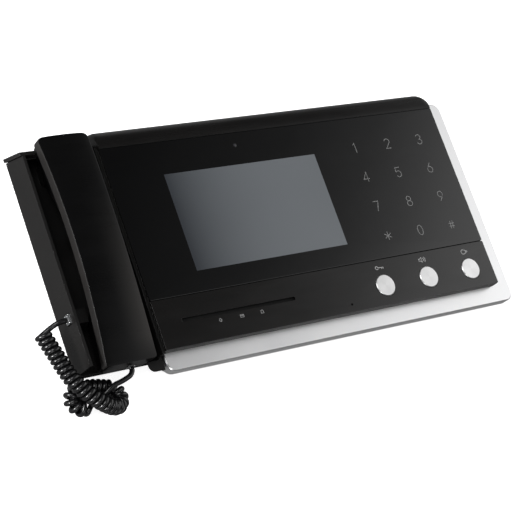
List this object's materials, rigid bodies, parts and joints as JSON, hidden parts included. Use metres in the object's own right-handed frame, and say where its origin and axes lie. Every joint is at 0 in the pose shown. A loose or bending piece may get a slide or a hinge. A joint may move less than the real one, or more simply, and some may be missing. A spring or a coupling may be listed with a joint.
{
  "type": "video intercom monitor",
  "caption": "Desk video intercom monitor: glass screen and touch keypad panel with metal push buttons, an aluminium trim plate and a corded handset in a side cradle.",
  "frame": {"origin": "on the back face of the rear cover, midway between the station's left and right ends", "axes": "+Z out of the front panel, +X along the panel away from the handset, +Y towards the rolled top edge; the station lies on its back on its feet"},
  "size_m": [0.4692, 0.2323, 0.0478],
  "materials": {
    "black_plastic": "fine satin moulded black plastic",
    "glass_black": "polished glass with a black print behind it",
    "satin_aluminium": "bead-blasted satin, spun on the buttons",
    "steel": "plain plated",
    "lcd_glass": "switched-off screen, satin",
    "circuit_board": "solder mask",
    "dark_component": "moulded component bodies",
    "terminal_green": "moulded",
    "clear_plastic": "clear moulded polycarbonate",
    "rubber": "soft satin"
  },
  "bodies": {
    "base": {"button_board": "circuit_board", "button_fascia": "black_plastic", "camera_module": "dark_component", "camera_window": "clear_plastic", "coil_cord": "rubber", "cover_screw_1": "steel", "cover_screw_2": "steel", "cover_screw_3": "steel", "cover_screw_4": "steel", "cradle_end_cap": "black_plastic", "cradle_tray": "black_plastic", "ethernet_jack": "steel", "front_housing": "black_plastic", "hook_board": "circuit_board", "hook_microswitch": "dark_component", "hook_spring": "steel", "lcd_backlight_tray": "steel", "lcd_cell": "lcd_glass", "line_jack": "dark_component", "line_plug": "clear_plastic", "loudspeaker": "dark_component", "main_board": "circuit_board", "panel_microphone": "steel", "power_jack": "dark_component", "processor_heatsink": "satin_aluminium", "rear_cover": "black_plastic", "rubber_foot_1": "rubber", "rubber_foot_2": "rubber", "rubber_foot_3": "rubber", "rubber_foot_4": "rubber", "speaker_mesh": "steel", "status_board": "circuit_board", "status_light_pipe_1": "clear_plastic", "status_light_pipe_2": "clear_plastic", "status_light_pipe_3": "clear_plastic", "tact_switch_1": "dark_component", "tact_switch_2": "dark_component", "tact_switch_3": "dark_component", "terminal_block": "terminal_green", "touch_glass": "glass_black", "touch_keypad_board": "circuit_board", "trim_plate": "satin_aluminium", "usb_port": "steel"},
    "handset": {"handset_outer_shell": "black_plastic", "handset_inner_shell": "black_plastic", "receiver_capsule": "dark_component", "handset_microphone": "steel", "handset_weight": "steel", "handset_plug": "clear_plastic", "handset_screw_1": "steel", "handset_screw_2": "steel"},
    "hook_key": {"hook_plunger": "dark_component"},
    "key_1": {"button_1": "satin_aluminium", "switch_plunger_1": "dark_component"},
    "key_2": {"button_2": "satin_aluminium", "switch_plunger_2": "dark_component"},
    "key_3": {"button_3": "satin_aluminium", "switch_plunger_3": "dark_component"}
  },
  "joints": [
    {"name": "handset_lift", "type": "slide", "parent": "base", "child": "handset", "axis": [0, 0, 1], "range_m": [0, 0.1], "deforming": ["coil_cord"]},
    {"name": "hook_switch_travel", "type": "slide", "parent": "base", "child": "hook_key", "axis": [0, 0, 1], "range_m": [0, 0.003], "deforming": ["hook_spring"]},
    {"name": "button_1_press", "type": "slide", "parent": "base", "child": "key_1", "axis": [0, 0, -1], "range_m": [0, 0.0008], "stiffness_N_per_m": 1500},
    {"name": "button_2_press", "type": "slide", "parent": "base", "child": "key_2", "axis": [0, 0, -1], "range_m": [0, 0.0008], "stiffness_N_per_m": 1500},
    {"name": "button_3_press", "type": "slide", "parent": "base", "child": "key_3", "axis": [0, 0, -1], "range_m": [0, 0.0008], "stiffness_N_per_m": 1500}
  ],
  "couplings": [
    {"joint": "hook_switch_travel", "follows": "handset_lift", "ratio": 0.03}
  ]
}
